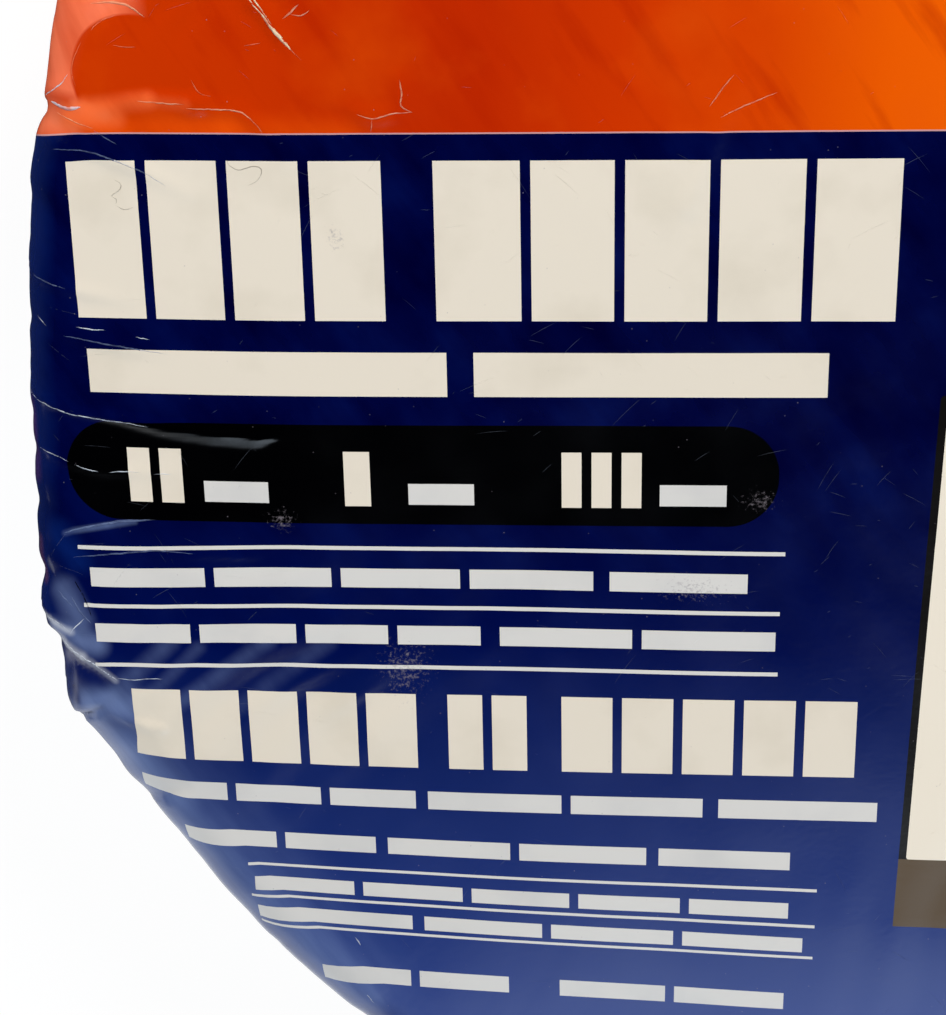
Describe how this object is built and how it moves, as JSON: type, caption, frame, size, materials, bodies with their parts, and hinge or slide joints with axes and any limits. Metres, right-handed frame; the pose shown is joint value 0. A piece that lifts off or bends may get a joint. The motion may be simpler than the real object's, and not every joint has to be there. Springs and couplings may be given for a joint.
{
  "type": "roll of fiberglass pipe wrap in a film bag",
  "caption": "Round flat pack of foil-backed fiberglass pipe wrap: the strip wound on itself and drawn tight into a glossy printed film bag, lying on its end.",
  "frame": {"origin": "bottom middle of the bag, on the surface that it lies on", "axes": "+Z along the roll's axis, out of the printed front; +Y towards the top of the print, +X to the print's right"},
  "size_m": [0.2614, 0.269, 0.0774],
  "materials": {
    "printed_film": "glossy printed poly film, navy with an orange end, creased and scuffed",
    "fiberglass": "matt glass wool with a thin foil backing"
  },
  "bodies": {
    "root": {"film_bag": "printed_film", "pipe_wrap_roll": "fiberglass"}
  },
  "joints": []
}
